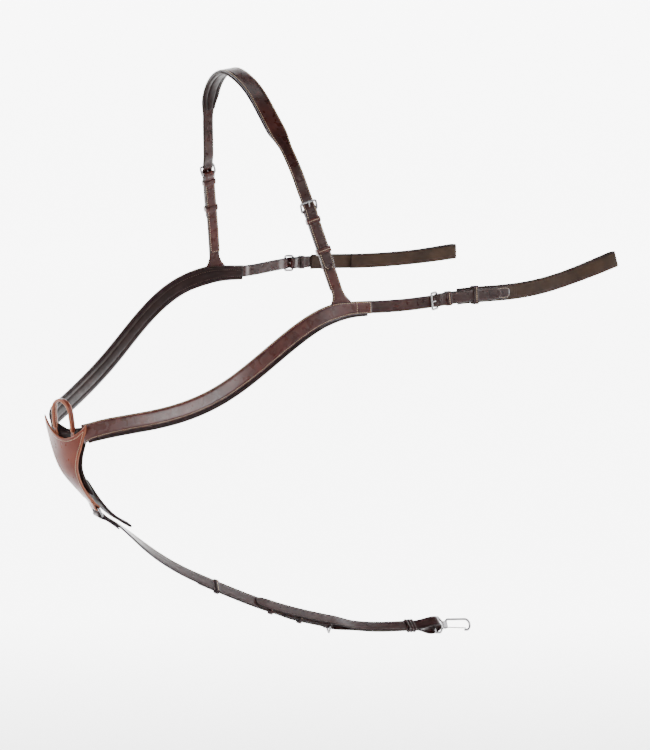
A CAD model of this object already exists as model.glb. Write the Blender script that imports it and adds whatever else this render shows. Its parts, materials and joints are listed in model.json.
"""Looks of the leather breastplate martingale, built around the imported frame.

Lengths are in millimetres up to the point where a mesh is made, which is in metres.
+X runs to the horse's tail, +Y to its right, +Z up, as in the frame.
"""
import math

import bpy
import numpy as np
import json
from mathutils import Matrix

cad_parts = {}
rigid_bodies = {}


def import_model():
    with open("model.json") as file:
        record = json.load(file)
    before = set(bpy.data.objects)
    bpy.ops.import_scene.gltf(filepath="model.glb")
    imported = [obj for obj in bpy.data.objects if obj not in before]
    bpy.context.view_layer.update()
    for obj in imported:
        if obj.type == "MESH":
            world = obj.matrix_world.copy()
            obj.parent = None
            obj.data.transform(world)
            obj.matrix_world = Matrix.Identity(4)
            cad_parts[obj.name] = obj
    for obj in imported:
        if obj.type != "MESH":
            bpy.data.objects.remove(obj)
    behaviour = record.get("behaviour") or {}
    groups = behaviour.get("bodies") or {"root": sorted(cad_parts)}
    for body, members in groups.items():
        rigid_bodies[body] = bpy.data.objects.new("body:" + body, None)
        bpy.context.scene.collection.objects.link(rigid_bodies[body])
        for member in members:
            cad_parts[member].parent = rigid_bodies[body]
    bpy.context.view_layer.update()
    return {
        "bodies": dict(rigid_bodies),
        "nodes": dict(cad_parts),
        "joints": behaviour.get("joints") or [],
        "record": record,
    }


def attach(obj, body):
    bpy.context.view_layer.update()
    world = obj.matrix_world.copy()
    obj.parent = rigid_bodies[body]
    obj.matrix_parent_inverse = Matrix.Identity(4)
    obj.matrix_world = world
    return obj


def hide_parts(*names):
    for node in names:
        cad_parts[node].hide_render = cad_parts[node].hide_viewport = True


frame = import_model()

MM = 0.001
BODY_OF = {node: body for body, nodes in frame["record"]["behaviour"]["bodies"].items() for node in nodes}
SLOT_OF = {part["node"]: part["material_slot"] for part in frame["record"]["subparts"]}

# ---- sizes, as in the model ---------------------------------------------------------------------
BILLET_WIDTH = 19.0
LOOP_STRAP_WIDTH = 25.0
LEATHER = 2.6
CHAPE = 2.3
LAYER_GAP = 0.12
MOVING_GAP = 0.4
PAD = 5.0
HOLE_RADIUS = 2.0
HOLE_PITCH = 25.0
BAR_RADIUS = 1.7
BUCKLE_DEPTH = 14.0
BUCKLE_RISE = 5.6
TONGUE_RADIUS = 1.1
KEEPER_WALL = 1.5
STATION = 4.0
TURN_STEPS = 18

# ---- routes: x, y, z of the strap, then the way its outer face looks ------------------------------
SIDE_LEFT = [
    (-300, -30, -511, -0.80, -0.50, 0.30),
    (-294, -43, -504, -0.76, -0.53, 0.38),
    (-264, -77, -489, -0.66, -0.62, 0.42),
    (-208, -125, -472, -0.58, -0.68, 0.44),
    (-146, -165, -443, -0.60, -0.66, 0.44),
    (-84, -188, -399, -0.45, -0.78, 0.44),
    (-18, -196, -355, -0.30, -0.87, 0.40),
    (18, -196, -339, -0.18, -0.92, 0.34),
    (63, -192, -332, -0.02, -0.97, 0.22),
    (114, -191, -334, 0.05, -0.99, 0.14),
    (190, -204, -334, 0.12, -0.98, 0.10),
    (240, -209, -331, 0.06, -0.99, 0.10),
    (290, -212, -330, 0.00, -0.99, 0.10),
    (360, -210, -333, -0.02, -0.99, 0.10),
    (440, -206, -330, -0.04, -0.99, 0.12),
    (520, -202, -317, -0.05, -0.99, 0.14),
    (588, -199, -302, -0.05, -0.99, 0.14),
]
SIDE_RIGHT = [
    (-313, 30, -514, -0.94, 0.34, -0.08),
    (-309, 46, -504, -0.84, 0.54, -0.12),
    (-277, 77, -490, -0.60, 0.78, -0.18),
    (-212, 125, -472, -0.45, 0.86, -0.24),
    (-144, 166, -441, -0.38, 0.89, -0.24),
    (-84, 188, -398, -0.35, 0.90, -0.22),
    (-18, 196, -354, -0.22, 0.95, -0.18),
    (18, 196, -340, -0.12, 0.98, -0.10),
    (63, 191, -332, -0.02, 1.00, -0.04),
    (114, 190, -335, 0.05, 1.00, -0.02),
    (189, 203, -334, 0.10, 0.99, 0.00),
    (238, 209, -335, 0.06, 1.00, 0.00),
    (289, 212, -338, 0.00, 1.00, 0.00),
    (353, 211, -343, -0.02, 1.00, 0.00),
    (430, 208, -346, -0.03, 1.00, 0.00),
    (500, 206, -346, -0.03, 1.00, 0.00),
    (566, 205, -344, -0.03, 1.00, 0.00),
]
WITHER = [
    (60.3, -189.7, -339, -0.02, -0.97, 0.22),
    (59, -185.4, -319.5, -0.04, -0.97, 0.22),
    (50, -182, -288, -0.14, -0.97, 0.17),
    (38, -171, -240, -0.22, -0.94, 0.24),
    (25, -156, -184, -0.24, -0.92, 0.30),
    (17, -140, -138, -0.26, -0.88, 0.42),
    (10, -110, -90, -0.26, -0.76, 0.60),
    (4, -75, -47, -0.22, -0.62, 0.76),
    (1, -38, -12, -0.18, -0.46, 0.88),
    (0, 0, 6.4, -0.14, -0.20, 0.97),
    (2, 38, 11.5, -0.12, 0.06, 0.99),
    (5, 76, -1, -0.10, 0.40, 0.91),
    (9, 106, -28, -0.08, 0.78, 0.62),
    (13, 122, -68, -0.08, 0.94, 0.34),
    (18, 131, -104, -0.06, 0.96, 0.26),
    (29, 150, -152, -0.06, 0.96, 0.24),
    (38, 163, -192, -0.06, 0.97, 0.22),
    (51, 178, -250, -0.04, 0.98, 0.14),
    (60.5, 188, -318, -0.02, 1.00, -0.02),
    (61.3, 187.2, -338, -0.02, 1.00, -0.04),
]
GIRTH = [
    (-257, 0, -646.5, 0.68, 0.00, 0.73),
    (-233, 0, -664, 0.63, -0.10, 0.74),
    (-182, 0, -711, 0.50, -0.46, 0.73),
    (-125, 0, -757, 0.39, -0.57, 0.73),
    (-53, 0, -801, 0.30, -0.62, 0.72),
    (47, 0, -855, 0.22, -0.64, 0.73),
    (152, 0, -899, 0.16, -0.58, 0.80),
    (248, 0, -929, 0.12, -0.56, 0.82),
    (327, 0, -943, 0.12, -0.57, 0.81),
    (389, 0, -954, 0.14, -0.56, 0.82),
]
SHIELD = [
    (-317, 0, -487, -0.98, -0.21, 0.00),
    (-314.5, 0, -519, -0.98, -0.21, 0.00),
    (-312, 0, -547, -0.98, -0.21, 0.00),
    (-306.5, 0, -570, -0.98, -0.20, 0.00),
    (-295, 0, -592, -0.98, -0.14, 0.00),
    (-280, 0, -614, -0.98, -0.04, 0.00),
    (-263.5, 0, -636, -0.98, 0.00, 0.00),
]
SAFE = [
    (-280, 2, -588, -0.88, -0.20, -0.44),
    (-256, 2, -626, -0.84, -0.10, -0.52),
    (-234, 0, -651, -0.74, 0.00, -0.68),
    (-206, -1, -671, -0.66, 0.06, -0.74),
]


class Frame:
    """A place on a route: point, way along, way the face looks, way across."""

    def __init__(self, point, along, face):
        self.point = np.array(point, float)
        self.along = unit(along)
        self.face = unit(np.array(face, float) - np.dot(face, self.along) * self.along)
        self.across = np.cross(self.along, self.face)

    def place(self, along=0.0, across=0.0, face=0.0):
        return self.point + self.along * along + self.across * across + self.face * face

    def moved(self, along=0.0, across=0.0, face=0.0):
        return Frame(self.place(along, across, face), self.along, self.face)


def unit(vector):
    vector = np.array(vector, float)
    return vector / np.linalg.norm(vector)


class Route:
    """A natural cubic spline through hand-placed points, measured by its length."""

    SAMPLES = 24

    def __init__(self, rows):
        rows = np.array(rows, float)
        chord = np.linalg.norm(np.diff(rows[:, :3], axis=0), axis=1)
        knots = np.concatenate([[0.0], np.cumsum(chord)])
        fine = np.concatenate(
            [np.linspace(a, b, self.SAMPLES, endpoint=False) for a, b in zip(knots, knots[1:])]
            + [[knots[-1]]]
        )
        self.points = np.stack([natural_spline(knots, rows[:, k], fine) for k in range(3)], axis=1)
        self.faces = np.stack([natural_spline(knots, rows[:, k], fine) for k in range(3, 6)], axis=1)
        steps = np.linalg.norm(np.diff(self.points, axis=0), axis=1)
        self.lengths = np.concatenate([[0.0], np.cumsum(steps)])
        self.slopes = np.gradient(self.points, self.lengths, axis=0)
        self.length = self.lengths[-1]

    def at(self, distance):
        def mix(table):
            return [np.interp(distance, self.lengths, table[:, k]) for k in range(3)]

        return Frame(mix(self.points), mix(self.slopes), mix(self.faces))

    def nearest_x(self, x, first=0.0):
        """The distance at which the route reaches this x, searching on from first."""
        for distance, point in zip(self.lengths, self.points):
            if distance >= first and point[0] >= x:
                return distance
        return self.length


def natural_spline(knots, values, where):
    """Values of the natural cubic spline through (knots, values)."""
    count = len(knots)
    gap = np.diff(knots)
    matrix = np.eye(count)
    right = np.zeros(count)
    for i in range(1, count - 1):
        matrix[i, i - 1 : i + 2] = gap[i - 1], 2 * (gap[i - 1] + gap[i]), gap[i]
        rise = (values[i + 1] - values[i]) / gap[i]
        fall = (values[i] - values[i - 1]) / gap[i - 1]
        right[i] = 6 * (rise - fall)
    bend = np.linalg.solve(matrix, right)
    k = np.clip(np.searchsorted(knots, where, side="right") - 1, 0, count - 2)
    h = gap[k]
    a = (knots[k + 1] - where) / h
    b = (where - knots[k]) / h
    curve = ((a**3 - a) * bend[k] + (b**3 - b) * bend[k + 1]) * h**2 / 6
    return a * values[k] + b * values[k + 1] + curve


def ease(x):
    x = min(max(x, 0.0), 1.0)
    return x * x * (3 - 2 * x)


def profile(table):
    """A function that eases between the (distance, value) rows of a table."""

    def value(distance):
        if distance <= table[0][0]:
            return table[0][1]
        for (a, low), (b, high) in zip(table, table[1:]):
            if distance <= b:
                return low + (high - low) * ease((distance - a) / (b - a))
        return table[-1][1]

    return value


def stations(start, end, extra=()):
    """Distances of a strap's sections: on a common grid, so that layers bend alike."""
    low = min(start, end)
    high = max(start, end)
    grid = [k * STATION for k in range(math.ceil(low / STATION), math.floor(high / STATION) + 1)]
    wanted = sorted([low, high] + [x for x in extra if low < x < high])
    kept = wanted + [g for g in grid if all(abs(g - w) > 1.0 for w in wanted)]
    kept = sorted(kept)
    return kept if end >= start else kept[::-1]


def tip_width(end, width, reach=11.0, into=1):
    """A strap's width near a rounded tip that lies at end; the strap is on the into side."""

    def value(distance):
        inside = (distance - end) * into
        if inside >= reach:
            return width
        x = 1 - max(inside, 0.0) / reach
        return width * max(math.sqrt(1 - x * x), 0.3)

    return value


def tip_stations(end, reach=11.0, into=1):
    return [end + into * reach * f for f in (0.06, 0.2, 0.45, 0.75, 1.0)]


def folded(route, begin, bar, back, thick, radius, spread, first=None, second=None, lift=0.0):
    """Frames of a leaf that runs from begin to the bar, round it, and back to back.

    radius: the bore of the turn. spread: how far from the bar the two leaves start to part.
    first, second: heights of the two leaves where they are shut; first is on the face side.
    """
    turn = radius + thick / 2
    shut = thick / 2 + LAYER_GAP / 2
    way = 1 if bar > begin else -1

    def height(s, own, sign):
        rest = sign * shut if own is None else number(own, s)
        return lift + rest + (sign * turn - rest) * ease(1 - abs(bar - s) / spread)

    frames = []
    marks = [bar - way * spread * f for f in (0.15, 0.3, 0.5, 0.75, 1.0)]
    for s in stations(begin, bar, marks):
        frames.append(route.at(s).moved(face=height(s, first, 1)))
    core = route.at(bar).moved(face=lift)
    for k in range(1, TURN_STEPS):
        angle = math.pi / 2 - math.pi * k / TURN_STEPS
        radial = core.along * way * math.cos(angle) + core.face * math.sin(angle)
        forward = core.along * math.sin(angle) - core.face * way * math.cos(angle)
        frames.append(Frame(core.point + radial * turn, forward, radial))
    for s in stations(bar, back, marks):
        frame = route.at(s).moved(face=height(s, second, -1))
        frames.append(Frame(frame.point, -frame.along, -frame.face))
    return frames


# ---- meshes -------------------------------------------------------------------------------------
def mesh_piece(name, points, faces, marks=None):
    """An object of its own from points in millimetres; marks: values of the rim attribute."""
    mesh = bpy.data.meshes.new(name)
    mesh.from_pydata([tuple(p) for p in np.asarray(points) * MM], [], faces)
    if marks is not None:
        layer = mesh.attributes.new("rim", "FLOAT", "POINT")
        layer.data.foreach_set("value", np.asarray(marks, np.float32))
    mesh.validate()
    mesh.shade_smooth()
    mesh.set_sharp_from_angle(angle=math.radians(48))
    piece = bpy.data.objects.new(name, mesh)
    bpy.context.scene.collection.objects.link(piece)
    return piece


def grid_faces(rows, columns, first=0, closed_rows=False):
    """Quads between rows of closed loops."""
    faces = []
    count = rows if closed_rows else rows - 1
    for i in range(count):
        a = first + i * columns
        b = first + ((i + 1) % rows) * columns
        for j in range(columns):
            k = (j + 1) % columns
            faces.append((a + j, a + k, b + k, b + j))
    return faces


def loft(loops, closed=False):
    """Points and faces of a skin over closed loops of equal counts, capped at both ends."""
    rows = len(loops)
    columns = len(loops[0])
    points = np.concatenate(loops)
    faces = grid_faces(rows, columns, closed_rows=closed)
    if not closed:
        faces.append(tuple(range(columns))[::-1])
        faces.append(tuple((rows - 1) * columns + j for j in range(columns)))
    return points, faces


def leather_section(width, thick):
    """Across, height and rim mark round a strap's section: round edges and a pressed crease."""
    half = width / 2
    r = thick / 2 * 0.92
    crease = max(half - 1.9, half * 0.5)
    rows = []
    for angle in range(-75, 76, 30):
        a = math.radians(angle)
        rows.append((half - r + r * math.cos(a), (thick / 2 - r) * np.sign(angle) + r * math.sin(a), 1.0))
    upper = [
        (crease + 0.35, thick / 2, 0.5), (crease, thick / 2 - 0.22, 0.8), (crease - 0.35, thick / 2, 0.3),
        (crease * 0.6, thick / 2 + 0.03, 0.0), (0.0, thick / 2 + 0.05, 0.0),
    ]
    rows += upper + [(-x, z, m) for x, z, m in upper[-2::-1]]
    rows += [(-x, z, m) for x, z, m in rows[5::-1]]
    rows += [(-crease * 0.7, -thick / 2, 0.0), (0.0, -thick / 2, 0.0), (crease * 0.7, -thick / 2, 0.0)]
    return rows


def pad_section(width, thick):
    """A padded lining: flat on the strap, with a full middle roll between two sewn channels."""
    half = [(1.0, 0.25, 0.6), (0.985, 0.75, 0.9), (0.9, 1.0, 0.3), (0.45, 1.0, 0.0), (0.0, 1.0, 0.0)]
    lower = [
        (0.0, -1.0, 0.0), (0.2, -0.97, 0.0), (0.36, -0.8, 0.1), (0.44, -0.42, 0.9), (0.50, -0.42, 0.9),
        (0.58, -0.72, 0.1), (0.72, -0.82, 0.0), (0.86, -0.66, 0.1), (0.93, -0.30, 0.9), (0.985, -0.2, 0.5),
    ]
    right = [(x, z, m) for x, z, m in lower] + half
    left = [(-x, z, m) for x, z, m in half[-2::-1]] + [(-x, z, m) for x, z, m in lower[:0:-1]]
    return [(x * width / 2, z * thick / 2, m) for x, z, m in right + left]


def end_scale(k, count):
    """Thins the first and last sections, so that a strap's ends are round."""
    near = min(k, count - 1 - k)
    return (0.35, 0.82, 1.0)[min(near, 2)]


def strap_skin(frames, widths, thick, section=leather_section):
    """Loops and rim marks along frames, with close sections at the ends for a round edge."""
    ends = [(frames[0], widths[0])] + [(mixed(frames[0], frames[1], f), mix(widths[0], widths[1], f))
                                       for f in (0.15,)]
    tail = [(mixed(frames[-1], frames[-2], 0.15), mix(widths[-1], widths[-2], 0.15)),
            (frames[-1], widths[-1])]
    rows = ends + list(zip(frames, widths))[1:-1] + tail
    loops = []
    marks = []
    for k, (place, width) in enumerate(rows):
        squeeze = end_scale(k, len(rows))
        loop = section(width, thick)
        loops.append([place.place(0, x * (0.97 if squeeze < 0.5 else 1), z * squeeze) for x, z, _ in loop])
        marks += [max(m, 1.0 if squeeze < 1 else 0.0) for _, _, m in loop]
    points, faces = loft(loops)
    return points, faces, marks


def mix(a, b, f):
    return a + (b - a) * f


def mixed(a, b, f):
    return Frame(mix(a.point, b.point, f), mix(a.along, b.along, f), mix(a.face, b.face, f))


def joined_skins(skins):
    """Several skins as one list of points, faces and marks."""
    points = []
    faces = []
    marks = []
    for own_points, own_faces, own_marks in skins:
        base = sum(len(p) for p in points)
        points.append(own_points)
        faces += [tuple(base + i for i in face) for face in own_faces]
        marks += list(own_marks)
    return np.concatenate(points), faces, marks


def dress(piece, node, material):
    """Puts a piece in the place of its CAD node: body, slot, material."""
    piece.data.materials.append(material)
    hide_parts(node)
    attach(piece, BODY_OF[node])
    return piece


def trim(piece, node, material):
    """A small piece, such as a row of stitches, that goes with a node but replaces none."""
    piece.data.materials.append(material)
    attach(piece, BODY_OF[node])
    return piece


def number(value, distance):
    return value(distance) if callable(value) else value


def strap_frames(route, start, end, lift=0.0, extra=(), across=0.0):
    where = stations(start, end, extra)
    return where, [route.at(s).moved(across=across, face=number(lift, s)) for s in where]


def strap_piece(node, route, start, end, width, thick, material, lift=0.0, extra=(), across=0.0,
                section=leather_section, soft=None):
    """A flat strap along a route. width, lift: a number or a function of the distance."""
    where, frames = strap_frames(route, start, end, lift, extra, across)
    skin = strap_skin(frames, [number(width, s) for s in where], thick, section)
    piece = mesh_piece(node + "_leather" if soft is None else node + "_padding", *skin)
    if soft is not None:
        rounded(piece)
    return dress(piece, node, material)


def rounded(piece):
    """One level of subdivision, applied."""
    modifier = piece.modifiers.new("round", "SUBSURF")
    modifier.levels = 1
    modifier.render_levels = 1
    apply_modifiers(piece)


def apply_modifiers(piece):
    bpy.context.view_layer.update()
    graph = bpy.context.evaluated_depsgraph_get()
    mesh = bpy.data.meshes.new_from_object(piece.evaluated_get(graph))
    piece.modifiers.clear()
    piece.data = mesh


def punch(piece, cutters):
    """Meant to cut round holes and slots, each (frame, slot length, radius, depth).

    The cut leaves no hole in the leather: the report lists this as an open fault.
    """
    points = []
    faces = []
    for place, length, radius, depth in cutters:
        first = len(points)
        outline = []
        for k in range(24):
            a = 2 * math.pi * k / 24
            outline.append((math.copysign(length / 2, math.cos(a)) + radius * math.cos(a),
                            radius * math.sin(a)))
        for z in (-depth / 2, depth / 2):
            points += [place.place(x, y, z) for x, y in outline]
        faces += [(first + k, first + (k + 1) % 24, first + 24 + (k + 1) % 24, first + 24 + k)
                  for k in range(24)]
        faces.append(tuple(first + k for k in range(24))[::-1])
        faces.append(tuple(first + 24 + k for k in range(24)))
    cutter = mesh_piece("cutter", points, faces)
    modifier = piece.modifiers.new("holes", "BOOLEAN")
    modifier.object = cutter
    modifier.solver = "EXACT"
    apply_modifiers(piece)
    bpy.data.objects.remove(cutter)
    piece.data.shade_smooth()
    piece.data.set_sharp_from_angle(angle=math.radians(40))


# ---- stitching ----------------------------------------------------------------------------------
STITCH_PITCH = 3.3
STITCH_LENGTH = 2.5
THREAD_RADIUS = 0.40
STITCH_EDGE = 2.2            # from a strap's edge to its stitches


def stitch_line(points, faces_up, pitch=STITCH_PITCH):
    """Places of single stitches along a line: (middle, along, up)."""
    points = np.array(points, float)
    steps = np.linalg.norm(np.diff(points, axis=0), axis=1)
    lengths = np.concatenate([[0.0], np.cumsum(steps)])
    faces_up = np.array(faces_up, float)
    places = []
    for s in np.arange(pitch / 2, lengths[-1], pitch):
        at = [np.interp((s - 0.5, s, s + 0.5), lengths, points[:, k]) for k in range(3)]
        low, middle, high = np.array(at).T
        up = [np.interp(s, lengths, faces_up[:, k]) for k in range(3)]
        places.append((middle, unit(high - low), unit(up)))
    return places


def stitches(node, places, material):
    """One mesh of many short rounded threads that lean a little and sink at their ends."""
    shape = []
    for x, r, z in ((-0.5, 0.25, -0.5), (-0.34, 0.85, -0.05), (0.0, 1.0, 0.12), (0.34, 0.85, -0.05),
                    (0.5, 0.25, -0.5)):
        for k in range(6):
            a = 2 * math.pi * k / 6
            shape.append((x * STITCH_LENGTH, r * THREAD_RADIUS * math.cos(a), z * THREAD_RADIUS
                          + r * THREAD_RADIUS * math.sin(a)))
    shape = np.array(shape)
    points = []
    faces = []
    for n, (middle, along, up) in enumerate(places):
        side = np.cross(up, along)
        lean = unit(along + side * 0.14)
        side = np.cross(up, lean)
        points.append(middle + shape[:, :1] * lean + shape[:, 1:2] * side + shape[:, 2:] * up)
        faces += grid_faces(5, 6, first=30 * n)
        faces.append(tuple(30 * n + k for k in range(6))[::-1])
        faces.append(tuple(30 * n + 24 + k for k in range(6)))
    return trim(mesh_piece(node + "_stitches", np.concatenate(points), faces), node, material)


def edge_places(frames, widths, thick, edge=STITCH_EDGE, sides=(1, -1), under=False):
    """Stitches along a strap's edges, on its outer or inner face."""
    places = []
    sign = -1 if under else 1
    for side in sides:
        line = [f.place(0, side * max(w / 2 - edge, 0.6), sign * (thick / 2 - 0.14)) for f,
                w in zip(frames, widths)]
        places += stitch_line(line, [sign * f.face for f in frames])
    return places


def edge_rows(stretch, width, thick, edge=STITCH_EDGE, under=False):
    """Stitches along both edges of a stretch of strap, given as strap_frames takes it."""
    where, frames = strap_frames(*stretch)
    return edge_places(frames, [number(width, s) for s in where], thick, edge, under=under)


def cross_places(place, width, thick, edge=STITCH_EDGE):
    """A row of stitches straight across a strap."""
    half = width / 2 - edge
    line = [place.place(0, -half, thick / 2 + 0.02), place.place(0, half, thick / 2 + 0.02)]
    return stitch_line(line, [place.face, place.face])


# ---- materials ----------------------------------------------------------------------------------
def linear(colour):
    return [((c / 255 + 0.055) / 1.055) ** 2.4 if c > 10 else c / 255 / 12.92 for c in colour] + [1.0]


class Nodes:
    """A short hand for building a material's nodes."""

    def __init__(self, name):
        self.material = bpy.data.materials.new(name)
        self.material.use_nodes = True
        self.tree = self.material.node_tree
        self.shader = self.tree.nodes["Principled BSDF"]
        self.place = self.new("ShaderNodeTexCoord").outputs["Object"]

    def new(self, kind, **values):
        node = self.tree.nodes.new(kind)
        for key, value in values.items():
            if hasattr(node, key):
                setattr(node, key, value)
            else:
                node.inputs[key.replace("_", " ")].default_value = value
        return node

    def link(self, a, b):
        self.tree.links.new(a, b)

    def noise(self, scale, detail=3.0, stretch=None):
        node = self.new("ShaderNodeTexNoise")
        node.inputs["Scale"].default_value = scale
        node.inputs["Detail"].default_value = detail
        source = self.place
        if stretch is not None:
            mapping = self.new("ShaderNodeMapping")
            mapping.inputs["Scale"].default_value = stretch
            self.link(source, mapping.inputs["Vector"])
            source = mapping.outputs["Vector"]
        self.link(source, node.inputs["Vector"])
        return node.outputs["Fac"]

    def cells(self, scale):
        node = self.new("ShaderNodeTexVoronoi", feature="DISTANCE_TO_EDGE")
        node.inputs["Scale"].default_value = scale
        self.link(self.place, node.inputs["Vector"])
        return node.outputs["Distance"]

    def span(self, value, low, high, start=0.0, end=1.0):
        node = self.new("ShaderNodeMapRange")
        self.link(value, node.inputs["Value"])
        for key, number_ in (("From Min", start), ("From Max", end), ("To Min", low), ("To Max", high)):
            node.inputs[key].default_value = number_
        return node.outputs["Result"]

    def blend(self, factor, a, b):
        node = self.new("ShaderNodeMix", data_type="RGBA")
        self.link(factor, node.inputs[0])
        for value, socket in ((a, node.inputs[6]), (b, node.inputs[7])):
            if isinstance(value, list):
                socket.default_value = value
            else:
                self.link(value, socket)
        return node.outputs[2]

    def attribute(self, name):
        return self.new("ShaderNodeAttribute", attribute_name=name).outputs["Fac"]

    def bump(self, height, strength, distance, after=None):
        node = self.new("ShaderNodeBump")
        node.inputs["Strength"].default_value = strength
        node.inputs["Distance"].default_value = distance
        self.link(height, node.inputs["Height"])
        if after is not None:
            self.link(after, node.inputs["Normal"])
        return node.outputs["Normal"]

    def finish(self, normal, **constants):
        self.link(normal, self.shader.inputs["Normal"])
        for key, value in constants.items():
            self.shader.inputs[key.replace("_", " ")].default_value = value
        return self.material


def leather(name, colour, deep, edge, rough=(0.30, 0.46), coat=0.35, grain=1.0, shine=0.3):
    """Bridle leather: cloudy dye, fine grain, darker pores, a burnished edge and creases."""
    n = Nodes(name)
    clouds = n.span(n.noise(26.0, 5.0), 0.0, 1.0, 0.32, 0.70)
    base = n.blend(clouds, linear(deep), linear(colour))
    pores = n.span(n.cells(1500.0), 0.30, 0.0, 0.0, 0.22)
    base = n.blend(pores, base, linear(deep))
    rim = n.span(n.attribute("rim"), 0.0, 0.85, 0.15, 1.0)
    base = n.blend(rim, base, linear(edge))
    n.link(base, n.shader.inputs["Base Color"])
    worn = n.span(n.noise(90.0, 6.0), rough[0], rough[1], 0.3, 0.7)
    n.link(worn, n.shader.inputs["Roughness"])
    first = n.bump(n.cells(1100.0), 0.22 * grain, 0.00022)
    second = n.bump(n.noise(420.0, 6.0), 0.30 * grain, 0.00035, first)
    third = n.bump(n.noise(45.0, 3.0), 0.25, 0.0012, second)
    return n.finish(third, Coat_Weight=coat, Coat_Roughness=0.2, Specular_IOR_Level=shine)


def thread(name, colour, shade):
    n = Nodes(name)
    twist = n.noise(2600.0, 2.0, stretch=(1.0, 1.0, 2.2))
    n.link(n.blend(n.span(twist, 0.0, 1.0, 0.3, 0.7), linear(shade), linear(colour)),
           n.shader.inputs["Base Color"])
    return n.finish(n.bump(twist, 0.6, 0.0002), Roughness=0.62, Sheen_Weight=0.2)


def metal(name, colour, rough):
    """Polished steel with fine wiping marks and faint tarnish in places."""
    n = Nodes(name)
    haze = n.span(n.noise(140.0, 6.0), 0.0, 1.0, 0.35, 0.75)
    n.link(n.blend(haze, linear(colour), linear([c * 0.86 for c in colour])), n.shader.inputs["Base Color"])
    marks = n.noise(900.0, 3.0, stretch=(1.0, 6.0, 1.0))
    n.link(n.span(marks, rough * 0.7, rough * 1.7, 0.3, 0.7), n.shader.inputs["Roughness"])
    return n.finish(n.bump(marks, 0.06, 0.0001), Metallic=1.0)


CHESTNUT = leather("chestnut_leather", (126, 58, 38), (98, 42, 29), (160, 96, 70), rough=(0.26, 0.40),
                   coat=0.25)
MAHOGANY = leather("mahogany_leather", (84, 34, 26), (58, 23, 19), (48, 20, 18), rough=(0.22, 0.36),
                   coat=0.35)
DARK = leather("dark_leather", (64, 29, 24), (43, 20, 18), (34, 17, 16), rough=(0.22, 0.38), coat=0.3)
OLIVE = leather("loop_leather", (66, 46, 31), (50, 34, 24), (38, 25, 20), rough=(0.48, 0.62), coat=0.0,
                grain=1.6, shine=0.2)
GIRTH_SKIN = leather("girth_leather", (60, 34, 32), (43, 24, 24), (32, 18, 18), rough=(0.26, 0.4),
                     coat=0.15, shine=0.25)
LINING = leather("lining_leather", (46, 28, 26), (33, 20, 19), (26, 14, 14), rough=(0.4, 0.56),
                 coat=0.0, grain=1.4, shine=0.15)
CREAM = thread("cream_thread", (232, 212, 180), (186, 158, 128))
BROWN_THREAD = thread("brown_thread", (96, 66, 52), (66, 43, 35))
STEEL = metal("bright_steel", (176, 174, 176), 0.16)

# ---- buckle stacks ------------------------------------------------------------------------------
# Heights over the middle between the two leaves of a folded chape.
CHAPE_TOP_SHUT = CHAPE + LAYER_GAP / 2
CHAPE_TOP_AT_BAR = BAR_RADIUS + 0.1 + CHAPE
BILLET_OVER_SHUT = CHAPE_TOP_SHUT + LAYER_GAP + LEATHER / 2
BILLET_OVER_BAR = CHAPE_TOP_AT_BAR + LAYER_GAP + LEATHER / 2
BILLET_UNDER_OUTER_BAR = BUCKLE_RISE - BAR_RADIUS - 0.25 - LEATHER / 2


def billet_lift(heel, way, free_lift):
    """How high a billet runs: way is the side of the heel bar on which the outer bar lies."""
    table = [
        (-11.0, BILLET_OVER_SHUT),
        (-1.0, BILLET_OVER_BAR),
        (1.5, BILLET_OVER_BAR),
        (BUCKLE_DEPTH - 1.5, BILLET_UNDER_OUTER_BAR),
        (BUCKLE_DEPTH + 1.5, BILLET_UNDER_OUTER_BAR),
        (34.0, free_lift),
    ]
    value = profile(table)
    return lambda s: value((s - heel) * way)


def billet_marks(heel, way):
    return [heel + way * d
            for d in (-11, -8, -5, -1, 1.5, 5, 9, BUCKLE_DEPTH - 1.5, BUCKLE_DEPTH + 1.5, 20, 27, 34)]



# ---- side straps --------------------------------------------------------------------------------
SEAM_X = 114.0
SADDLE_HEEL_X = 222.0
PAD_DROP = 2.6
MIDDLE_LAYER = LEATHER / 2 + LAYER_GAP + CHAPE / 2
PAD_UNDER_FACE = LEATHER / 2 + LAYER_GAP + PAD / 2
PAD_UNDER_MIDDLE = LEATHER / 2 + 2 * LAYER_GAP + CHAPE + PAD / 2
SADDLE_LOOP_BORE = 5.0


def height_places(route, frames):
    """The route distance beside each of these frames."""
    return [route.lengths[np.argmin(np.linalg.norm(route.points - f.point, axis=1))] for f in frames]


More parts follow.
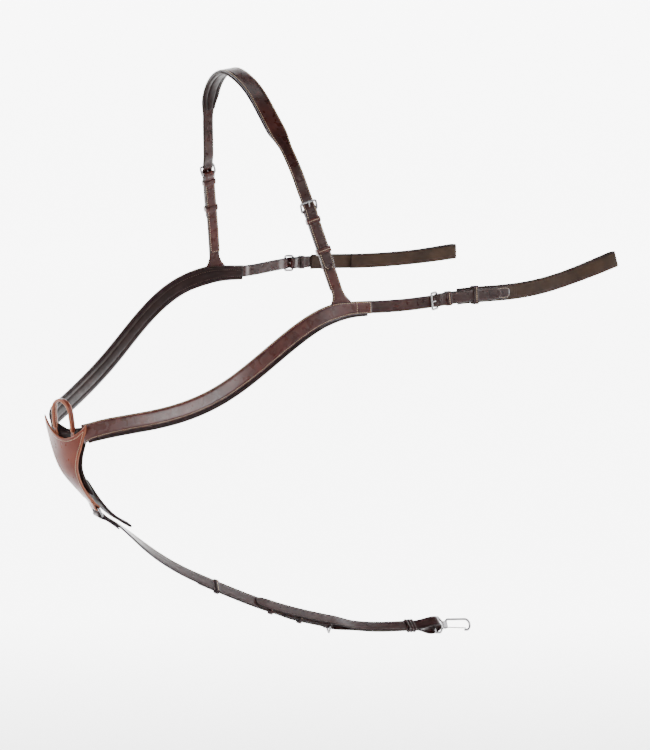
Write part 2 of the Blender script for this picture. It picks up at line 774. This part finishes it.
def keeper_piece(node, place, inner_width, inner_height, length, material, wall=KEEPER_WALL, ribs=0,
                 sewn=True):
    """A leather keeper: a band with round edges bent round a rectangle, with a sewn line on it."""
    half_w = inner_width / 2
    half_h = inner_height / 2
    corner = 0.9
    outline = []
    for cx, cy, start in ((half_w - corner, half_h - corner, 0), (-half_w + corner, half_h - corner, 90),
                          (-half_w + corner, -half_h + corner, 180), (half_w - corner, -half_h + corner,
                              270)):
        for a in range(start, start + 91, 15):
            c = math.cos(math.radians(a))
            s = math.sin(math.radians(a))
            outline.append((cx + corner * c, cy + corner * s, c, s))
    section = [(-0.5, 0.0, 0.6), (-0.5, 0.55, 1.0), (-0.46, 0.88, 1.0), (-0.40, 1.0, 0.6),
               (-0.3, 0.93, 0.4), (-0.22, 1.0, 0.0)]
    for rib in range(ribs):
        middle = (rib - (ribs - 1) / 2) * 0.72 / max(ribs - 1, 1)
        section += [(middle - 0.11, 1.02, 0.8), (middle - 0.07, 1.5, 0.0), (middle, 1.62, 0.0),
                    (middle + 0.07, 1.5, 0.0),
                    (middle + 0.11, 1.02, 0.8)]
    if ribs:
        section = [section[0], section[1], (-0.49, 1.0, 0.8)] + section[6:] + [(0.49, 1.0, 0.8),
            (0.5, 0.55, 1.0), (0.5, 0.0, 0.6)]
    else:
        section += [(0.0, 1.03, 0.0)] + [(-u, h, m) for u, h, m in section[::-1]]
    loops = []
    marks = []
    for x, y, nx, ny in outline:
        loops.append([place.place(u * length, x + nx * h * wall, y + ny * h * wall) for u, h, _ in section])
        marks += [m for _, _, m in section]
    points, faces = loft(loops, closed=True)
    dress(mesh_piece(node + "_band", points, faces, marks), node, material)
    if sewn:
        top = half_h + wall * 1.05
        line = [place.place(0, -half_w + 0.8, top), place.place(0, half_w - 0.8, top)]
        stitches(node, stitch_line(line, [place.face, place.face], 2.9), CREAM)


def keeper_on(node, route, where, bottom, top, width, gap, length, material):
    place = route.at(where).moved(face=(bottom + top) / 2)
    keeper_piece(node, place, width + 2 * gap, top - bottom + 2 * gap, length, material)


def hole_cut(route, where, lift, length=0.0, radius=HOLE_RADIUS, depth=14.0):
    return (route.at(where).moved(face=number(lift, where)), length, radius, depth)


def tongue_cut(route, heel, way, lift):
    return hole_cut(route, heel + way * 6.3, lift, 8.4, TONGUE_RADIUS + 0.5, 9.0)


def chape_cut(route, bar):
    return hole_cut(route, bar, 0.0, 15.0, 2.3, 16.0)


def ribbon_piece(node, frames, widths, thick, material, cutters=()):
    piece = mesh_piece(node + "_leather", *strap_skin(frames, widths, thick))
    if cutters:
        punch(piece, list(cutters))
    return dress(piece, node, material)


def side_straps(side, rows):
    route = Route(rows)
    seam = route.nearest_x(SEAM_X)
    junction = route.nearest_x(63.0)
    heel = route.nearest_x(SADDLE_HEEL_X)
    lower = 1 if side == "left" else -1
    face_width = profile([(0, 30), (30, 26), (90, 24), (seam - 70, 24), (seam - 34, 20), (seam, 19.5)])
    strap_piece(f"shoulder_strap_{side}", route, 8, seam, face_width, LEATHER, MAHOGANY)
    rows_of_thread = edge_rows((route, 12, seam - 1.5), face_width, LEATHER)
    rows_of_thread += cross_places(route.at(seam - 3), 19.5,
                                   LEATHER) + cross_places(route.at(seam - 27), 19.5, LEATHER)
    stitches(f"shoulder_strap_{side}", rows_of_thread, CREAM)
    pad_width = profile([(0, 26), (60, 29), (seam - 80, 29), (seam - 6, 22)])
    pad_lift = profile([(junction - 60, -PAD_UNDER_FACE), (junction - 34, -PAD_UNDER_MIDDLE)])
    strap_piece(f"shoulder_pad_{side}", route, 14, seam - 4, pad_width, PAD, LINING, pad_lift,
                across=lower * PAD_DROP, section=pad_section, soft=0.75)
    where, frames = strap_frames(route, 26, seam - 8, pad_lift, across=lower * PAD_DROP)
    for edge, height in ((0.47, 0.43), (0.965, 0.16)):
        widths = [pad_width(s) for s in where]
        places = []
        for sign in (1, -1):
            line = [f.place(0, sign * w / 2 * edge, -PAD / 2 * height) for f, w in zip(frames, widths)]
            places += stitch_line(line, [-f.face for f in frames], 4.0)
        stitches(f"shoulder_pad_{side}", places, BROWN_THREAD)

    begin = junction + 24
    tip = heel + 118
    low = BILLET_UNDER_OUTER_BAR
    over = billet_lift(heel, -1, -MIDDLE_LAYER)
    rise = profile([(seam + 2, -MIDDLE_LAYER), (seam + 14, 0.0)])
    drop = profile([(heel - 34, 0.0), (heel - BUCKLE_DEPTH - 1.5, low)])

    def lift(s):
        if s < heel - 34:
            return rise(s)
        return drop(s) if s < heel - BUCKLE_DEPTH - 1.5 else over(s)

    width = tip_width(tip, BILLET_WIDTH, into=-1)
    marks = billet_marks(heel, -1) + tip_stations(tip, into=-1) + [seam + 2, seam + 8, seam + 14]
    where, frames = strap_frames(route, begin, tip, lift, marks)
    cutters = [hole_cut(route, heel - 6.3 - k * HOLE_PITCH, lift) for k in (1, 2, -2, -3, -4)]
    cutters.append(tongue_cut(route, heel, -1, lift))
    ribbon_piece(f"saddle_billet_{side}", frames, [width(s) for s in where], CHAPE, DARK, cutters)
    stitches(f"saddle_billet_{side}",
             edge_rows((route, seam + 6, tip - 1.5, lift, marks), width, CHAPE, 2.4), BROWN_THREAD)

    chape_end = heel + 138
    inner_end = heel + 34
    frames = folded(route, chape_end, heel, inner_end, CHAPE, BAR_RADIUS + 0.1, 10)
    near = height_places(route, frames)
    narrow = tip_width(chape_end, BILLET_WIDTH, reach=8.0, into=-1)
    count = len(frames) / 2
    widths = [narrow(s) if k < count else BILLET_WIDTH for k, s in enumerate(near)]
    ribbon_piece(f"saddle_chape_{side}", frames, widths, CHAPE, DARK, [chape_cut(route, heel)])
    shut = CHAPE / 2 + LAYER_GAP / 2
    rows_of_thread = edge_rows((route, heel + 12, chape_end - 1.5, shut,
                                tip_stations(chape_end, 8.0, -1)), narrow, CHAPE, 2.4)
    rows_of_thread += cross_places(route.at(heel + 36).moved(face=shut), BILLET_WIDTH, CHAPE)
    stitches(f"saddle_chape_{side}", rows_of_thread, CREAM)

    top = -(LAYER_GAP + LEATHER) / 2 - LAYER_GAP
    bar = route.length - SADDLE_LOOP_BORE - LEATHER
    below = top - LEATHER - LAYER_GAP
    back = chape_end - 20
    frames = folded(route, inner_end + 3, bar, back, LEATHER, SADDLE_LOOP_BORE, 110, first=top, second=below)
    ribbon_piece(f"saddle_loop_strap_{side}", frames, [LOOP_STRAP_WIDTH] * len(frames), LEATHER, OLIVE)
    places = []
    for s in (chape_end - 12, chape_end + 12, chape_end + 15):
        places += cross_places(route.at(s).moved(face=top), LOOP_STRAP_WIDTH, LEATHER, 2.5)
    places += edge_rows((route, chape_end - 12, chape_end + 15, top), LOOP_STRAP_WIDTH, LEATHER, 2.5)
    stitches(f"saddle_loop_strap_{side}", places, BROWN_THREAD)

    stack_top = BILLET_OVER_SHUT + CHAPE / 2
    keeper_on(f"saddle_fixed_keeper_{side}", route, heel + 19, -CHAPE_TOP_SHUT, stack_top, BILLET_WIDTH,
              LAYER_GAP, 9.0, DARK)
    keeper_on(f"saddle_runner_keeper_{side}", route, heel + 68, -(LEATHER + LAYER_GAP * 2), stack_top,
              LOOP_STRAP_WIDTH,
              MOVING_GAP, 9.0, DARK)


# ---- strap over the neck and its uprights ---------------------------------------------------------
UPRIGHT = {"left": 156.0, "right": 175.0}
WITHER_PAD = (146.0, 150.0)


def upright(side, route, base, way):
    heel = base + way * UPRIGHT[side]

    def width(s):
        height = abs(s - base)
        flare = max(0.0, 1 - max(height - 9, 0.0) / 22.0)
        return BILLET_WIDTH + 20 * flare**2.2

    frames = folded(route, base - way * 6, heel, base + way * 34, CHAPE, BAR_RADIUS + 0.1, 10)
    near = height_places(route, frames)
    ribbon_piece(f"junction_upright_{side}", frames, [width(s) for s in near], CHAPE, MAHOGANY,
                 [chape_cut(route, heel)])
    shut = CHAPE / 2 + LAYER_GAP / 2
    places = []
    for under in (False, True):
        lift = -shut if under else shut
        start = 38 if under else 15
        places += edge_rows((route, base + way * start, heel - way * 12, lift), width, CHAPE, 2.4,
                            under=under)
    end = route.at(base + way * 36).moved(face=-shut)
    flipped = Frame(end.point, end.along, -end.face)
    places += cross_places(flipped, BILLET_WIDTH, CHAPE)
    stitches(f"junction_upright_{side}", places, CREAM)
    top = BILLET_OVER_SHUT + LEATHER / 2
    keeper_on(f"wither_fixed_keeper_{side}", route, heel - way * 15, -CHAPE_TOP_SHUT, top, BILLET_WIDTH,
              LAYER_GAP, 8.0, MAHOGANY)
    keeper_on(f"wither_runner_keeper_{side}", route, heel - way * 62, -CHAPE_TOP_SHUT, top,
              BILLET_WIDTH, MOVING_GAP, 9.0, MAHOGANY)
    return heel


def neck_strap():
    route = Route(WITHER)
    left_heel = upright("left", route, 6.0, 1)
    right_heel = upright("right", route, route.length - 6.0, -1)
    left_tip = left_heel - 92
    right_tip = right_heel + 84
    middle = route.lengths[np.argmin(np.abs(route.points[:, 1]))]
    left_lift = billet_lift(left_heel, 1, 0.0)
    right_lift = billet_lift(right_heel, -1, 0.0)

    def lift(s):
        return left_lift(s) if s < middle else right_lift(s)

    pad_start = middle - WITHER_PAD[0]
    pad_end = middle + WITHER_PAD[1]
    wide = profile([
        (pad_start - 16, BILLET_WIDTH), (pad_start + 20, 27.0),
        (pad_end - 20, 27.0), (pad_end + 16, BILLET_WIDTH),
    ])
    left_width = tip_width(left_tip, BILLET_WIDTH, into=1)
    right_width = tip_width(right_tip, BILLET_WIDTH, into=-1)

    def width(s):
        return min(left_width(s), right_width(s)) if s < left_heel or s > right_heel else wide(s)

    marks = billet_marks(left_heel, 1) + billet_marks(right_heel, -1)
    marks += tip_stations(left_tip, into=1) + tip_stations(right_tip, into=-1)
    where, frames = strap_frames(route, left_tip, right_tip, lift, marks)
    cutters = []
    for heel, way in ((left_heel, 1), (right_heel, -1)):
        cutters += [hole_cut(route, heel + way * (6.3 + k * HOLE_PITCH), lift) for k in (1, 2, -1, -2)]
        cutters.append(tongue_cut(route, heel, way, lift))
    ribbon_piece("wither_strap", frames, [width(s) for s in where], LEATHER, DARK, cutters)
    stitches("wither_strap",
             edge_rows((route, left_tip + 1.5, right_tip - 1.5, lift, marks), width, LEATHER), CREAM)
    pad_width = profile([(pad_start, 20.0), (pad_start + 26, 30.0), (pad_end - 26, 30.0), (pad_end, 20.0)])
    strap_piece("wither_pad", route, pad_start, pad_end, pad_width, PAD, LINING, -PAD_UNDER_FACE,
                section=pad_section, soft=0.8)


# ---- chest shield, link and girth strap -----------------------------------------------------------
SHIELD_TOP = 32.1            # the route's distance at the middle of the top edge
SHIELD_RADIUS = 150.0        # it wraps round the chest
SHIELD_THICK = 3.4
SHIELD_GAP = 3.0             # room for the straps' ends behind the shield
SHIELD_HALF = [(-24, 51), (-19, 51), (0, 43), (10, 39), (27, 31), (45, 24.5), (67, 18.5), (88, 14),
               (112, 10.5)]
SHIELD_END = 112.0
BACKING_HALF = [(-24, 44), (-14, 47), (0, 44), (27, 33), (45, 27), (67, 21), (88, 17), (106, 13)]
BACKING_END = 106.0
BACKING_THICK = 6.0
TOP_EDGE_RADIUS = 62.0       # the hollow of the shield's top edge
LINK_RADIUS = 1.8
TIP_WIDTH = 19.0
LINK_TOP = (-262.5, 0.0, -634.0)



def tapered(table):
    """A smooth half width between the (distance, half width) rows of a table."""
    where, half = np.array(table, float).T
    return lambda s: float(np.mean(np.interp((s - 5, s - 2.5, s, s + 2.5, s + 5), where, half)))


def plate(route, table, end, depth, thick, top_edge, section):
    """A curved plate: its upper edge is hollow, and its outer skin lies depth behind the route's face."""
    half = tapered(table)
    wide = table[0][1]
    ends = [0.0, 0.35, 1.0]
    steps = ends + [2.0 + 2.5 * k for k in range(int((end - 4) / 2.5))] + [end - x for x in ends[::-1]]
    loops = []
    marks = []
    for k, t in enumerate(steps):
        squeeze = end_scale(k, len(steps))
        ring = []
        for x, z, mark in section(thick):
            across = min(max(x, -1.0), 1.0)
            hollow = TOP_EDGE_RADIUS - math.sqrt(TOP_EDGE_RADIUS**2 - (wide * across) ** 2) - top_edge
            s = -hollow + (end + hollow) * t / end
            place = route.at(SHIELD_TOP + s)
            angle = x * half(s) / SHIELD_RADIUS
            radius = SHIELD_RADIUS - depth - thick / 2 + z * squeeze
            ring.append(place.place(0, radius * math.sin(angle), radius * math.cos(angle) - SHIELD_RADIUS))
            marks.append(max(mark, 0.9 if squeeze < 1 else 0.0))
        loops.append(ring)
    points, faces = loft(loops)
    return points, faces, marks


def wide_leather(thick):
    """The section of a wide plate, in halves of its width: many points across, round edges."""
    rows = [(1.0, -0.5, 1.0), (1.012, 0.0, 1.0), (1.0, 0.5, 1.0), (0.985, 0.86, 0.9), (0.95, 1.0, 0.3)]
    rows += [(0.93, 1.0, 0.2), (0.915, 0.9, 0.7), (0.90, 1.0, 0.1)]
    rows += [(x / 10, 1.0, 0.0) for x in range(8, -1, -1)]
    upper = rows + [(-x, z, m) for x, z, m in rows[-2::-1]]
    lower = [(x / 10, -1.0, 0.0) for x in range(-9, 10, 2)]
    return [(x, z * thick / 2, m) for x, z, m in upper + lower]


def wide_pad(thick):
    rows = [(1.0, -0.35, 0.6), (1.03, 0.2, 0.3), (1.0, 0.7, 0.9),
            (0.95, 1.0, 0.2)] + [(x / 10, 1.0, 0.0) for x in range(8, -1, -2)]
    upper = rows + [(-x, z, m) for x, z, m in rows[-2::-1]]
    lower = [(-0.93, -0.8, 0.2), (-0.82, -0.55, 0.9), (-0.7, -0.95, 0.0), (-0.35, -1.0, 0.0),
             (0.0, -1.0, 0.0)]
    lower += [(-x, z, m) for x, z, m in lower[-2::-1]]
    return [(x, z * thick / 2, m) for x, z, m in upper + lower]


def shield_line(route, table, end, inset, top_edge, depth=0.0):
    """A line on the plate's outer skin, a constant way inside its sides and its upper edge."""
    half = tapered(table)
    line = []
    ups = []

    def spot(s, x):
        place = route.at(SHIELD_TOP + s)
        angle = x / SHIELD_RADIUS
        radius = SHIELD_RADIUS - depth + 0.03
        line.append(place.place(0, radius * math.sin(angle), radius * math.cos(angle) - SHIELD_RADIUS))
        ups.append(place.face * math.cos(angle) + place.across * math.sin(angle))

    corner = table[0][1] - inset * 1.6
    for s in np.arange(end - 4, -17, -2.0):
        spot(s, half(s) - inset)
    for k in range(25):
        x = corner * (1 - k / 12)
        spot(inset - (TOP_EDGE_RADIUS - math.sqrt(TOP_EDGE_RADIUS**2 - x * x)) + top_edge, x)
    for s in np.arange(-16, end - 3, 2.0):
        spot(s, inset - half(s))
    return line, ups


def chest():
    route = Route(SHIELD)
    skin = plate(route, SHIELD_HALF, SHIELD_END, 0.0, SHIELD_THICK, 0.0, wide_leather)
    start = route.at(SHIELD_TOP + 88).moved(face=-SHIELD_THICK)
    turn = route.at(SHIELD_TOP + 108).moved(face=-SHIELD_THICK)
    tip_route = Route([
        (*start.point, *start.face),
        (*turn.point, turn.face[0], 0.0, turn.face[2]),
        (*LINK_TOP, turn.face[0], 0.0, turn.face[2]),
    ])
    leaves = folded(tip_route, 6, tip_route.length, 2, CHAPE, LINK_RADIUS + 0.1, 9,
                    first=SHIELD_THICK / 2 - 0.2, second=-CHAPE / 2 - 0.2)
    fold = strap_skin(leaves, [TIP_WIDTH] * len(leaves), CHAPE)
    dress(mesh_piece("chest_shield_leather", *joined_skins([skin, fold])), "chest_shield", CHESTNUT)
    edge_line = shield_line(route, SHIELD_HALF, SHIELD_END, 3.6, 0.0)
    stitches("chest_shield", stitch_line(*edge_line), CREAM)
    back = plate(route, BACKING_HALF, BACKING_END, SHIELD_THICK + SHIELD_GAP, BACKING_THICK, -2.0, wide_pad)
    safe = Route(SAFE)
    safe_width = profile([(0, 24), (50, 25), (safe.length, 25)])
    where, frames = strap_frames(safe, 0, safe.length)
    tail = strap_skin(frames, [safe_width(s) for s in where], 5.0, pad_section)
    piece = mesh_piece("chest_backing_padding", *joined_skins([back, tail]))
    rounded(piece)
    dress(piece, "chest_backing", LINING)
    stitches("chest_backing", edge_places(frames, [25.0] * len(frames), 5.0, 1.6, sides=(1, -1)),
             BROWN_THREAD)
    rein_loop(route)


LOOP_SPAN = 40.0             # between the middles of the martingale loop's legs
LOOP_HEIGHT = 58.0
LOOP_BAND = 9.0
LOOP_THICK = 4.6
LOOP_ROOT = 16.0             # how deep the flat legs run between the shield and its backing
ROOT_THICK = 2.4


def rein_loop(route):
    """The upright loop on the shield's top edge: a rolled band with its legs flattened to be sewn in."""
    half = LOOP_SPAN / 2
    arch = [(-half, -LOOP_ROOT), (-half, -6), (-half, 4.5), (-half - 0.3, 8), (-half - 0.6, 12),
            (-half - 0.9, 18)]
    arch += [(-half - 1.0, 24), (-half - 0.5, 31), (-half, LOOP_HEIGHT - half)]
    turn = [(half * math.cos(a), LOOP_HEIGHT - half + half * math.sin(a))
            for a in np.radians(range(10, 180, 10))]
    arch += turn[::-1] + [(-x, y) for x, y in arch[::-1]]
    base = route.at(SHIELD_TOP)
    depth = SHIELD_THICK + SHIELD_GAP / 2 + SHIELD_RADIUS - math.sqrt(SHIELD_RADIUS**2 - half**2)
    loops = []
    marks = []
    places = []
    for k, (x, y) in enumerate(arch):
        before = arch[max(k - 1, 0)]
        after = arch[min(k + 1, len(arch) - 1)]
        way = base.across * -(after[0] - before[0]) - base.along * (after[1] - before[1])
        place = Frame(base.place(-y, -x, -depth), way, np.cross(way, base.face))
        flat = 1 - ease((y - 4.5) / 12.0)
        band = mix(LOOP_BAND, ROOT_THICK, flat)
        thick = mix(LOOP_THICK, LOOP_BAND, flat)
        ring = leather_section(band, min(thick, LOOP_THICK)) if flat < 0.6 else leather_section(thick, band)
        if flat >= 0.6:
            ring = [(z, x_, m) for x_, z, m in ring]
            ring = ring[::-1]
        loops.append([place.place(0, x_, z) for x_, z, _ in ring])
        marks += [m for _, _, m in ring]
        if y > 6:
            places.append((place.place(0, 0, LOOP_THICK / 2 + 0.03), place.face))
    keep = [k for k, (x, y) in enumerate(arch) if y > 8]
    columns = len(loops[0])
    loops = [loops[k] for k in keep]
    marks = [m for k in keep for m in marks[k * columns : (k + 1) * columns]]
    points, faces = loft(loops)
    band_skin = (points, faces, marks)
    legs = []
    for side in (-1, 1):
        leg = []
        for y in (13.0, 9.0, 5.0, 0.0, -6.0, -LOOP_ROOT):
            flat = 1 - ease((y - 4.5) / 8.0)
            leg.append((Frame(base.place(-y, -side * (half + 0.5), -depth), -base.along, base.face),
                        mix(5.0, LOOP_BAND, flat)))
        legs.append(strap_skin([f for f, _ in leg], [w for _, w in leg], ROOT_THICK))
    dress(mesh_piece("martingale_loop_leather", *joined_skins([band_skin] + legs)), "martingale_loop",
          CHESTNUT)
    line = [p for p, _ in places]
    stitches("martingale_loop", stitch_line(line, [f for _, f in places], 3.0), CREAM)


# Heights in the girth strap's stack, over the middle between the main strap's two leaves
GIRTH_WIDTH = 22.0
GIRTH_LEATHER = 2.8
MAIN_LIFT = (GIRTH_LEATHER + LAYER_GAP) / 2
MAIN_TOP = GIRTH_LEATHER + LAYER_GAP / 2
GIRTH_BAR_HALF = BAR_RADIUS + 0.1 + GIRTH_LEATHER
SNAP_FOLD_BORE = 11.0
GIRTH_KEEPER_X = (-53.0, 47.0, 101.0)
GIRTH_BUCKLE_X = 156.0
LOOP_KEEPER_X = 326.0


def girth_strap():
    route = Route(GIRTH)
    heel = route.nearest_x(GIRTH_BUCKLE_X)
    middle = heel / 2
    at_link = folded(route, middle, 0.0, 40.0, GIRTH_LEATHER, LINK_RADIUS + 0.1, 14)
    at_buckle = folded(route, middle, heel, heel - 62, GIRTH_LEATHER, BAR_RADIUS + 0.1, 12)
    frames = at_link[::-1] + at_buckle[1:]
    turned = len(at_link)
    frames = [Frame(f.point, -f.along, f.face) if k < turned else f for k, f in enumerate(frames)]
    ribbon_piece("girth_strap", frames, [GIRTH_WIDTH] * len(frames), GIRTH_LEATHER, GIRTH_SKIN,
                 [chape_cut(route, heel)])
    places = edge_rows((route, 14.0, heel - 14.0, MAIN_LIFT), GIRTH_WIDTH, GIRTH_LEATHER, 2.4)
    places += edge_rows((route, 12.0, 38.0, -MAIN_LIFT), GIRTH_WIDTH, GIRTH_LEATHER, 2.4, under=True)
    places += edge_rows((route, heel - 60.0, heel - 14.0, -MAIN_LIFT), GIRTH_WIDTH, GIRTH_LEATHER, 2.4,
                        under=True)
    stitches("girth_strap", places, BROWN_THREAD)

    keepers = [route.nearest_x(x) for x in GIRTH_KEEPER_X]
    loop_keeper = route.nearest_x(LOOP_KEEPER_X)
    begin = route.nearest_x(14.0)
    tip = route.nearest_x(-93.0)
    bar = route.length - SNAP_FOLD_BORE - LEATHER
    sewn = MAIN_TOP + LAYER_GAP + LEATHER / 2
    over_keeper = sewn + KEEPER_WALL + LAYER_GAP + 0.2
    over_bar = GIRTH_BAR_HALF + LAYER_GAP + LEATHER / 2
    shut = (LEATHER + LAYER_GAP) / 2
    top = profile([
        (begin, sewn), (keepers[1] - 7, over_keeper), (heel - 16, over_keeper),
        (heel - 4, over_bar), (heel + 6, over_bar), (heel + 60, shut),
    ])
    under_single = LAYER_GAP / 2 - LAYER_GAP - LEATHER / 2
    under_double = -MAIN_TOP - LAYER_GAP - LEATHER / 2
    below = profile([
        (keepers[1] + 6, under_single), (heel - 72, under_double), (heel - 14, under_double),
        (heel - 3, -over_bar - 0.4), (heel + 8, -over_bar - 0.4), (heel + 60, -shut),
    ])
    frames = folded(route, begin, bar, tip, LEATHER, SNAP_FOLD_BORE, 40, first=top, second=below)
    pointed = tip_width(0.0, BILLET_WIDTH)
    near = height_places(route, frames)
    count = len(frames) / 2
    widths = [pointed(s - (begin if k < count else tip)) for k, s in enumerate(near)]
    buckled = heel + 3.0
    cutters = [hole_cut(route, buckled + k * HOLE_PITCH, below, depth=5.0) for k in (-3, -2, -1, 1, 2)]
    cutters.append(hole_cut(route, buckled, below, 9.0, 1.7, 6.0))
    ribbon_piece("girth_billet", frames, widths, LEATHER, GIRTH_SKIN, cutters)
    places = edge_rows((route, begin + 1.5, loop_keeper - 12, top, tip_stations(begin)),
                       lambda s: pointed(s - begin), LEATHER, 2.4)
    places += edge_rows((route, tip + 1.5, loop_keeper - 12, below, tip_stations(tip)),
                        lambda s: pointed(s - tip), LEATHER, 2.4, under=True)
    stitches("girth_billet", places, BROWN_THREAD)
    for k, place in enumerate(keepers):
        low = below(place) - LEATHER / 2
        keeper_on(f"girth_keeper_{k + 1}", route, place, low, MAIN_TOP, GIRTH_WIDTH, LAYER_GAP, 8.5,
                  GIRTH_SKIN)
    keeper_piece("girth_loop_keeper", route.at(loop_keeper), BILLET_WIDTH + 2 * LAYER_GAP, 2 * LEATHER
                 + LAYER_GAP + 0.54,
                 17.0, GIRTH_SKIN, ribs=3, sewn=False)


# ---- metal that stays as the frame has it -----------------------------------------------------------
def bright_metal():
    for node, slot in SLOT_OF.items():
        if slot != "bright_steel":
            continue
        item = frame["nodes"][node]
        item.data.materials.clear()
        item.data.materials.append(STEEL)
        item.data.shade_smooth()
        item.data.set_sharp_from_angle(angle=math.radians(38))


# ---- stage, light, camera ---------------------------------------------------------------------------
TARGET = np.array((154.0, 0.0, -481.0)) * MM
AZIMUTH = math.radians(-33.0)
ELEVATION = math.radians(13.0)
DISTANCE = 3.2
SENSOR = 36.0
LENS = 109.9


def camera():
    data = bpy.data.cameras.new("camera")
    data.sensor_fit = "HORIZONTAL"
    data.sensor_width = SENSOR
    data.lens = LENS
    data.clip_end = 100.0
    eye = bpy.data.objects.new("camera", data)
    back = np.array((
        math.sin(AZIMUTH) * math.cos(ELEVATION),
        -math.cos(AZIMUTH) * math.cos(ELEVATION),
        math.sin(ELEVATION),
    ))
    eye.location = TARGET + back * DISTANCE
    eye.rotation_euler = (math.pi / 2 - ELEVATION, 0.0, AZIMUTH)
    bpy.context.scene.collection.objects.link(eye)
    bpy.context.scene.camera = eye


def lamp(name, size, power, place, colour=(1.0, 1.0, 1.0)):
    data = bpy.data.lights.new(name, "AREA")
    data.shape = "RECTANGLE"
    data.size, data.size_y = size
    data.energy = power
    data.color = colour
    light = bpy.data.objects.new(name, data)
    light.location = place
    to_target = np.array(TARGET) - np.array(place)
    yaw = math.atan2(to_target[1], to_target[0]) - math.pi / 2
    pitch = math.atan2(to_target[2], math.hypot(to_target[0], to_target[1]))
    light.rotation_euler = (math.pi / 2 + pitch, 0.0, yaw)
    bpy.context.scene.collection.objects.link(light)


def studio():
    """A pale round floor that curves up into a wall, and soft light from all sides."""
    floor_z = -1.6
    rings = [(0.0, floor_z), (4.0, floor_z), (8.0, floor_z)]
    rings += [(8.0 + 3.0 * math.sin(a), floor_z + 3.0 - 3.0 * math.cos(a))
              for a in np.radians(range(10, 91, 10))]
    rings.append((11.0, 9.0))
    sides = 64
    points = []
    for radius, height in rings[1:]:
        points += [(radius * math.cos(2 * math.pi * k / sides),
                    radius * math.sin(2 * math.pi * k / sides), height) for k in range(sides)]
    faces = grid_faces(len(rings) - 1, sides)
    faces.append(tuple(range(sides))[::-1])
    floor = mesh_piece("floor", np.array(points) / MM, faces)
    n = Nodes("pale_floor")
    n.link(n.blend(n.noise(0.7), [0.86, 0.86, 0.86, 1.0], [0.89, 0.89, 0.89, 1.0]),
           n.shader.inputs["Base Color"])
    n.shader.inputs["Roughness"].default_value = 0.9
    n.shader.inputs["Emission Color"].default_value = (1.0, 1.0, 1.0, 1.0)
    far = n.new("ShaderNodeVectorMath", operation="DOT_PRODUCT")
    n.link(n.place, far.inputs[0])
    far.inputs[1].default_value = (-math.sin(AZIMUTH), math.cos(AZIMUTH), 0.0)
    split = n.new("ShaderNodeSeparateXYZ")
    n.link(n.place, split.inputs[0])
    both = n.new("ShaderNodeMath", operation="MULTIPLY")
    n.link(n.span(far.outputs["Value"], 0.2, 6.5, 0.2, 2.0), both.inputs[0])
    n.link(n.span(split.outputs["Z"], 1.0, 0.02, -0.2, 0.5), both.inputs[1])
    n.link(both.outputs[0], n.shader.inputs["Emission Strength"])
    floor.data.materials.append(n.material)
    world = bpy.data.worlds.new("soft")
    world.use_nodes = True
    world.node_tree.nodes["Background"].inputs["Color"].default_value = (1.0, 1.0, 1.0, 1.0)
    world.node_tree.nodes["Background"].inputs["Strength"].default_value = 0.12
    bpy.context.scene.world = world
    lamp("key", (1.0, 0.7), 30.0, (-2.4, -1.6, 1.2))
    lamp("fill", (1.6, 1.0), 8.0, (2.2, -2.4, 0.8))
    lamp("top", (1.6, 1.6), 16.0, (0.1, 0.3, 2.6))
    lamp("back", (1.2, 1.2), 8.0, (0.8, 2.8, 1.0))


side_straps("left", SIDE_LEFT)
side_straps("right", SIDE_RIGHT)
neck_strap()
chest()
girth_strap()
bright_metal()
camera()
studio()
